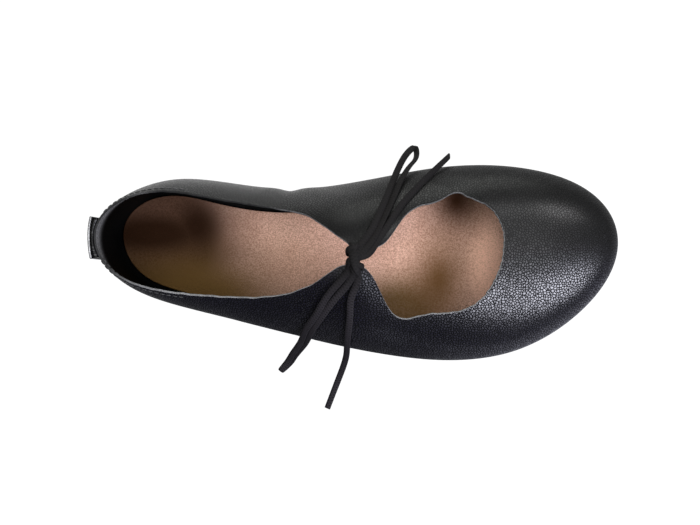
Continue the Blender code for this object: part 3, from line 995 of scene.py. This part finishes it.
def make_tread():
    """The tread inside the rim: square pits between ribs, on a lattice that waves both ways.

    A lattice point moves along by a sine of its place across, and across by a sine of its place along. The
    lattice is larger than the sole: cells outside the rim are dropped, and points past it are drawn back.
    A pit is an inset floor joined to its rim by four walls.
    """
    turns = np.linspace(0, math.pi, 241)
    lateral = outline(turns, outline_column("inset", turns) + TREAD_RIM - TREAD_LAP)
    medial = outline(-turns, outline_column("inset", -turns) + TREAD_RIM - TREAD_LAP)
    first = max(lateral[0, 0], medial[0, 0])
    last = min(lateral[-1, 0], medial[-1, 0])
    cells_along = np.arange(-4, LENGTH / TREAD_PITCH + 4)
    cells_out = np.arange(-38, 28)
    rib = TREAD_RIB / TREAD_PITCH
    wave = 2 * math.pi / WAVE_LONG

    def laid(a, b, up):
        """Lattice places in pitches to points under the sole, and whether they lie inside the rim."""
        x = a * TREAD_PITCH
        y = b * TREAD_PITCH
        warped_x = x + WAVE_HIGH * np.sin(y * wave)
        warped_y = y + WAVE_HIGH * np.sin(x * wave)
        low = np.interp(warped_x, lateral[:, 0], lateral[:, 1])
        high = np.interp(warped_x, medial[:, 0], medial[:, 1])
        inside = (warped_y > low) & (warped_y < high) & (warped_x > first) & (warped_x < last)
        spot = np.stack([np.clip(warped_x, first, last), np.clip(warped_y, low, high), up + 0 * x], axis=-1)
        return spot, inside

    a, b = np.meshgrid(cells_along, cells_out, indexing="ij")
    a = a[..., None]
    b = b[..., None]
    corner = np.array([(0, 0), (1, 0), (1, 1), (0, 1)], float)
    rim_a = a + rib + corner[:, 0] * (1 - rib)
    rim_b = b + rib + corner[:, 1] * (1 - rib)
    floor_a = a + rib + PIT_SLOPE + corner[:, 0] * (1 - rib - 2 * PIT_SLOPE)
    floor_b = b + rib + PIT_SLOPE + corner[:, 1] * (1 - rib - 2 * PIT_SLOPE)
    top, top_in = laid(rim_a, rim_b, 0.0)
    deep, deep_in = laid(floor_a, floor_b, TREAD_DEPTH)
    count_a, count_b = a.shape[:2]
    points = np.concatenate([top.reshape(-1, 3), deep.reshape(-1, 3)])
    inside = np.concatenate([top_in.ravel(), deep_in.ravel()])
    number = np.arange(count_a * count_b * 4).reshape(count_a, count_b, 4)
    below = number + number.size
    here = number[:-1, :-1]
    ahead = number[1:, :-1]
    beside = number[:-1, 1:]
    across = number[1:, 1:]
    quads = [
        np.stack([here[..., 1], ahead[..., 0], ahead[..., 3], here[..., 2]], axis=-1),
        np.stack([here[..., 3], here[..., 2], beside[..., 1], beside[..., 0]], axis=-1),
        np.stack([here[..., 2], ahead[..., 3], across[..., 0], beside[..., 1]], axis=-1),
        below[:-1, :-1],
    ]
    for k in range(4):
        after = (k + 1) % 4
        side = np.stack([number[..., k], number[..., after], below[..., after], below[..., k]], axis=-1)
        quads.append(side[:-1, :-1])
    faces = np.concatenate([q.reshape(-1, 4) for q in quads])[:, ::-1]
    faces = faces[inside[faces].any(axis=1)]
    used, faces = np.unique(faces, return_inverse=True)
    made = piece("outsole_tread", bent(points[used]), faces.reshape(-1, 4), (rubber,))
    work = bmesh.new()
    work.from_mesh(made.data)
    bmesh.ops.remove_doubles(work, verts=work.verts, dist=SAME_POINT * MM)
    work.to_mesh(made.data)
    work.free()
    made.data.polygons.foreach_set("use_smooth", np.zeros(len(made.data.polygons), bool))
    shell = made.modifiers.new("thickness", "SOLIDIFY")
    shell.thickness = TREAD_SHEET * MM
    shell.offset = -1
    return hand_over(made, "rubber_black")


def make_heel_tab(across=20, low_rows=10, high_rows=25):
    """The strip sewn up the back of the heel, from above the sole to the top edge, loose and flat at its top.

    Near the top a backing of leather fills what is open between the upper and the strip.
    """
    step = 0.02
    pace = np.linalg.norm(outline(step) - outline(-step)) / (2 * step)
    turns = np.linspace(-TAB_WIDTH / 2, TAB_WIDTH / 2, across + 1) / pace
    low = roll(turns, np.linspace(TAB_FOOT, TAB_BELLY, low_rows))
    high = wall(turns, np.linspace(0, 1, high_rows) * (top_girth(turns) - GAP)[:, None])
    grid = np.concatenate([low, high], axis=1)
    share = np.linspace(0, 1, grid.shape[1])
    out = np.column_stack([outline(turns) - outline(turns, np.ones(across + 1)), np.zeros(across + 1)])
    loose = TAB_LOOSE * share**3
    grid += out[:, None] * (TAB_GAP + loose)[:, None]
    back = grid[:, -BACKING_ROWS:] - out[:, None] * (loose[-BACKING_ROWS:, None] + BACKING_IN)
    place = np.linspace(-1, 1, across + 1)[:, None]
    grid[..., 0] -= TAB_FLAT * place**2 * share**2
    front = grid[:, :-BACKING_ROWS - 1:-1] - out[:, None] * BACKING_CLEAR
    ridge = (back[:, -1:] + front[:, :1]) / 2 + (0, 0, BACKING_RIDGE)
    lap = np.concatenate([back, ridge, front], axis=1)
    rows = lap.shape[1]
    ends = [tuple(range(rows))[::-1], tuple(range(across * rows, (across + 1) * rows))]
    faces = [*map(tuple, grid_faces(across + 1, rows, close_rows=True)), *ends]
    lap_uv = np.concatenate([(lap[..., 1:] * MM).reshape(-1, 2)[list(face)] for face in faces])
    hand_over(piece("heel_strip_backing", bent(lap), faces, (leather,), corner_uv=lap_uv), "leather_black")
    faces = grid_faces(across + 1, grid.shape[1])
    strip_uv = (grid[..., 1:] * MM).reshape(-1, 2)[faces]
    made = piece("heel_strip", bent(grid), faces, (leather, tab_edge), corner_uv=strip_uv)
    shell = made.modifiers.new("thickness", "SOLIDIFY")
    shell.thickness = TAB_THICK * MM
    shell.offset = 1
    shell.material_offset_rim = 1
    soft = made.modifiers.new("soft edges", "BEVEL")
    soft.width = TAB_BEVEL * MM
    soft.segments = 2
    soft.material = 0
    return hand_over(made, "leather_black", "heel_tab")


def sewn(name, middles, ahead, normals):
    """A joined mesh of stitches: the same small spindle at each middle, along the row and on the face."""
    around = np.arange(6) * math.pi / 3
    lengths = np.array([-0.5, -0.42, -0.2, 0.2, 0.42, 0.5])
    swell = np.array([0.12, 0.72, 1.0, 1.0, 0.72, 0.12])
    side = np.cross(normals, ahead)
    ring = np.cos(around)[:, None] * side[:, None, None] + np.sin(around)[:, None] * normals[:, None, None]
    rod = middles[:, None, None] + ahead[:, None, None] * (lengths * STITCH_LONG)[:, None, None]
    points = rod + ring * (swell * STITCH_THICK / 2)[:, None, None]
    count, rings, sides = points.shape[:3]
    one = grid_faces(rings, sides, close_rows=True)
    first = np.arange(sides)[::-1]
    last = (rings - 1) * sides + np.arange(sides)
    start = np.arange(count) * rings * sides
    faces = [tuple(face) for face in (start[:, None, None] + one).reshape(-1, 4)[:, ::-1]]
    faces += [tuple(face[::-1]) for face in start[:, None] + first]
    faces += [tuple(face[::-1]) for face in start[:, None] + last]
    return hand_over(piece(name, points, faces, (thread,)), "leather_black")


def make_collar_stitches():
    """The stitches round the collar's heel, on both faces of the leather, but for those under the strip."""
    end = float(turn_of(STITCH_END))
    fine = np.linspace(-end, end, 600)
    line, _ = leather_on(fine, top_girth(fine) - STITCH_INSET)
    reach = reach_of(line)
    count = int(reach[-1] / STITCH_PITCH)
    turns = np.interp((np.arange(count) + 0.5) * reach[-1] / count, reach, fine)
    girths = top_girth(turns) - STITCH_INSET
    spots, normals = leather_on(turns, girths)
    step = 0.01
    before, _ = leather_on(turns - step, top_girth(turns - step) - STITCH_INSET)
    after, _ = leather_on(turns + step, top_girth(turns + step) - STITCH_INSET)
    ahead = unit(after - before)
    shown = np.abs(spots[:, 1] - HEEL_OUT) > TAB_WIDTH / 2 + STRIP_CLEAR
    shown |= spots[:, 0] > STRIP_END
    inside = spots - (skived(STITCH_INSET) + STITCH_PROUD) * normals
    sewn("collar_stitches_outside", (spots + STITCH_PROUD * normals)[shown], ahead[shown], normals[shown])
    sewn("collar_stitches_inside", inside, ahead, -normals)


def smooth_path(route, step=0.8):
    """Points about a step apart on the smooth curve through a route's points."""
    route = np.array(route, float)
    reach = reach_of(route)
    at = np.linspace(0, reach[-1], int(reach[-1] / step) + 1)
    return np.column_stack([curve(reach, route[:, axis], at) for axis in range(3)])


def lace_shape(path, hints, width=LACE_WIDTH, thick=LACE_THICK, sides=16):
    """Points, faces and lace coordinates of a flat lace along a path, its thin way along the hints.

    The section is a rounded oblong. The coordinates are millimetres along the lace and the share round it.
    """
    ahead = unit(np.gradient(path, axis=0))
    side = unit(np.cross(hints, ahead))
    up = np.cross(ahead, side)
    turn = np.arange(sides) * 2 * math.pi / sides
    flat = np.sign(np.cos(turn)) * np.abs(np.cos(turn)) ** LACE_OBLONG * width / 2
    high = np.sign(np.sin(turn)) * np.abs(np.sin(turn)) ** LACE_OBLONG * thick / 2
    rings = path[:, None] + flat[:, None] * side[:, None] + high[:, None] * up[:, None]
    count = len(path)
    reach = reach_of(path)
    points = np.concatenate([rings.reshape(-1, 3), path[[0, -1]]])
    quads = grid_faces(count, sides, close_rows=True)[:, ::-1]
    k = np.arange(sides)
    after = (k + 1) % sides
    last = (count - 1) * sides
    first_fan = np.stack([np.full(sides, count * sides), k, after], axis=1)
    last_fan = np.stack([np.full(sides, count * sides + 1), last + after, last + k], axis=1)
    a = np.repeat(np.arange(count - 1), sides)
    b = np.tile(k, count - 1)
    u = np.stack([reach[a], reach[a + 1], reach[a + 1], reach[a]], axis=1)
    v = np.stack([b + 1, b + 1, b, b], axis=1) / sides
    uv = np.concatenate([np.stack([u, v], axis=-1).reshape(-1, 2), np.zeros((6 * sides, 2))])
    faces = [*map(tuple, quads), *map(tuple, first_fan), *map(tuple, last_fan)]
    return points, faces, uv


def lace_piece(name, shapes):
    """One piece of several lace shapes."""
    points = []
    faces = []
    maps = []
    total = 0
    for spots, sides, uv in shapes:
        points.append(spots)
        faces += [tuple(corner + total for corner in side) for side in sides]
        maps.append(uv)
        total += len(spots)
    return piece(name, np.concatenate(points), faces, (braid,), corner_uv=np.concatenate(maps))


def upward(path):
    """Which way a flat lace's face looks on the leather: away from the middle of the foot and up."""
    x = path[:, 0]
    core = np.column_stack([x, profile_column("ridge_out", x), np.full(len(x), LACE_CORE)])
    return unit(unit(path - core) + (0, 0, LACE_UP))


def leaning(path, lean):
    """The face leans to the lace's right, by an angle that grows to its full degrees at the far point."""
    far = np.linalg.norm(path - path[0], axis=1)
    angle = np.radians(lean) * (far / far.max())[:, None] ** LEAN_GROWTH
    right = unit(np.cross(unit(np.gradient(path, axis=0)), (0, 0, 1)))
    return np.cos(angle) * upward(path) + np.sin(angle) * right


def folded(path):
    """The face looks up as far as the furthest point, where the lace is folded back, and down after it."""
    far = np.argmax(np.linalg.norm(path - path[0], axis=1))
    reach = reach_of(path)
    share = np.clip((reach - reach[far]) / FOLD_LONG + 0.5, 0, 1)[:, None]
    angle = math.pi * share**2 * (3 - 2 * share)
    outward = unit((path[far] - path[0]) * (1, 1, 0))
    return np.cos(angle) * (0, 0, 1) + np.sin(angle) * outward


# The bow's loops and ends: the side, how far the face leans in degrees, none where it is folded over, and the
# route. Three numbers are a point along, out and up, and two are a place on the leather, along and by girth.
LACES = {
    "lace_loop_medial": (MEDIAL, 36, (
        (128.4, -12.4, 64.3), (130.4, -9.2, 62.6),
        (135.9, 52.9), (138.6, 46.4), (141.3, 39.1), (143.6, 31.5),
        (148.4, 32, 26.5), (152.8, 40.7, 13), (156.1, 43.5, 3.2), (156.7, 39.3, 9.5), (153.8, 32.7, 22.5),
        (147.8, 29), (144.1, 40.5), (141.4, 47), (138.7, 53.2),
        (132.3, -11.1, 62.6), (129.2, -13.8, 64.5),
    )),
    "lace_end_medial": (MEDIAL, 58, (
        (129.4, -14.6, 64), (133.6, -13.4, 62.5),
        (138.4, 58.8), (142.1, 53.2), (147.3, 44.3), (153.6, 35.2), (159.8, 27.2), (164, 21),
        (168.2, 32.2, 25), (173.2, 38.2, 12),
    )),
    "lace_loop_lateral": (LATERAL, None, (
        (127.2, -18.4, 64.2), (124.7, -21.7, 62.6),
        (116.2, 50.6), (109.7, 37.3), (105.4, 28.5),
        (98.6, -56.2, 24.5), (93, -63, 12.5), (88.4, -69, 5.2), (86.2, -71.8, 3),
        (88.8, -69.6, 1.7), (93.7, -64.2, 8.4), (100.7, -56.7, 22.8),
        (108.0, 28.2), (112.5, 37.6), (120.4, 51.4),
        (127.2, -22.9, 62.6), (128.2, -19.2, 64.4),
    )),
    "lace_end_lateral": (LATERAL, 25, (
        (129.4, -19.6, 64), (129.9, -23.3, 62.4),
        (126.6, 52), (125.8, 44), (125, 36), (123.8, 26),
        (121.9, -61.2, 25), (119.2, -68.9, 11), (115.4, -78, 3), (110.2, -91.4, 1.7),
    )),
}

# The knot's strands, each with its width, thickness and route: the mass inside, the band over it, the turns
# on the heel side and the turn on the toe side.
KNOT = (
    (5.0, 3.4, (
        (128.6, -9.6, 63), (128.5, -12.5, 64.2), (128.4, -16, 64.5), (128.6, -19.5, 64), (128.8, -21.6, 62.8),
    )),
    (3.9, 1.6, (
        (126.6, -8.9, 62.4), (126.9, -10.3, 65.2), (127.8, -13.8, 66.9), (128.9, -17.6, 66.7),
        (129.9, -20.6, 65), (130.2, -21.6, 62.8),
    )),
    (3.0, 1.5, (
        (129.6, -9.4, 65.2), (127, -10.2, 66.2), (125.2, -11.3, 65), (124.9, -12.3, 63.2), (126.6, -13, 61.8),
    )),
    (3.6, 1.5, (
        (129.4, -14.6, 66.5), (127, -15.6, 66.4), (125.3, -17, 65), (125, -18.1, 63.2), (126.8, -18.6, 61.9),
    )),
    (2.8, 1.5, (
        (128.8, -17.2, 66.5), (131, -18.2, 65.9), (132.1, -18.8, 64.3), (131.6, -19, 62.7), (130, -19, 61.9),
    )),
)

# The lace's bar from tab to tab: the side, the place along, the girth and the height over the leather.
BAR = (
    (LATERAL, 129.9, 60.2, -1.0),
    (LATERAL, 129.8, 61.4, 0.7),
    (LATERAL, 129.5, 63.5, 1.05),
    (LATERAL, 129.2, 66, 1.05),
    (MEDIAL, 128.5, 64, 1.05),
    (MEDIAL, 128.3, 61.8, 0.7),
    (MEDIAL, 128.2, 60.6, -1.0),
)


def lace_route(side, places):
    """Points of a route, those on the leather clear of it by half the cord and two gaps."""
    clear = CORD_THICK / 2 + 2 * GAP
    return [place if len(place) == 3 else leather_at(side, *place, clear)[0][0] for place in places]


def make_laces():
    """The bow's loops and ends, each a free cord from the knot."""
    for name, (side, lean, places) in LACES.items():
        path = smooth_path(lace_route(side, places))
        hints = folded(path) if lean is None else leaning(path, lean)
        made = lace_piece(name + "_braid", [lace_shape(path, hints)])
        hand_over(made, "lace_black", name)


def make_knot():
    """The knot: its strands' flat faces look away from the line through its middle, from tab to tab."""
    shapes = []
    for width, thick, route in KNOT:
        path = smooth_path(route, step=0.4)
        hints = unit((path - (KNOT_CORE[0], 0, KNOT_CORE[1])) * (1, 0, 1))
        shapes.append(lace_shape(path, hints, width, thick))
    return hand_over(lace_piece("lace_knot_braid", shapes), "lace_black", "lace_knot")


def make_bar():
    """The lace across the tabs under the knot, its ends sunk in the leather of the tabs."""
    path = smooth_path([leather_at(*row)[0][0] for row in BAR], step=0.5)
    made = lace_piece("lace_bar_braid", [lace_shape(path, upward(path), BAR_WIDTH, BAR_THICK)])
    return hand_over(made, "lace_black", "lace_bar")


def make_camera():
    """The photograph's view: nearly straight down, the toe to the right, no roll."""
    place = Vector(CAMERA_PLACE)
    back = (place - Vector(AIM)).normalized()
    right = Vector((0, 1, 0)).cross(back).normalized()
    facing = Matrix((right, back.cross(right), back)).transposed()
    data = bpy.data.cameras.new("camera")
    data.sensor_width = SENSOR
    data.lens = SENSOR * FOCAL_PIXELS / IMAGE_WIDE
    data.shift_x = SHIFT_PIXELS / IMAGE_WIDE
    camera = bpy.data.objects.new("camera", data)
    camera.matrix_world = Matrix.Translation(place) @ facing.to_4x4()
    bpy.context.scene.collection.objects.link(camera)
    bpy.context.scene.camera = camera


# The lights: the place, the width and the height of each in metres, its power in watts and its colour.
LIGHTS = {
    "top_light": ((0, 0.05, 1.35), 1.5, 1.5, 17, (1, 1, 1)),
    "medial_light": ((0.1, 1.3, 0.35), 0.9, 0.9, 6.5, (0.98, 1, 0.96)),
    "toe_light": ((0.86, -0.57, 0.98), 0.65, 0.85, 22.5, (0.87, 0.88, 1)),
    "toe_medial_light": ((0.72, 0.68, 0.95), 0.3, 0.3, 4, (1, 1, 1)),
}


def softbox(name, place, wide, high, power, colour):
    """An oval light that faces the shoe."""
    data = bpy.data.lights.new(name, "AREA")
    data.shape = "ELLIPSE"
    data.size = wide
    data.size_y = high
    data.energy = power
    data.color = colour
    light = bpy.data.objects.new(name, data)
    light.location = place
    light.rotation_euler = (Vector(AIM) - Vector(place)).to_track_quat("-Z", "Y").to_euler()
    bpy.context.scene.collection.objects.link(light)


def make_stage():
    """A pale glowing floor, a wide light above the shoe, a low one beside it and two before the toe."""
    mesh = bpy.data.meshes.new("floor")
    reach = 3.0
    corners = [(-reach, -reach, 0), (reach, -reach, 0), (reach, reach, 0), (-reach, reach, 0)]
    mesh.from_pydata(corners, [], [(0, 1, 2, 3)])
    mesh.materials.append(pale_floor())
    floor = bpy.data.objects.new("floor", mesh)
    bpy.context.scene.collection.objects.link(floor)
    for name, light in LIGHTS.items():
        softbox(name, *light)
    world = bpy.data.worlds.new("studio")
    sky = Finish(world, "Background", {})
    shown = sky.node("LightPath", {}, {}, "Is Camera Ray")
    sky.set({"Color": sky.mix(shown, grey(0.04), grey(1))})
    bpy.context.scene.world = world
    bpy.context.scene.view_settings.view_transform = "Standard"


make_camera()
make_laces()
make_knot()
make_bar()
make_upper()
make_insole()
make_outsole()
make_tread()
make_heel_tab()
make_collar_stitches()
make_stage()
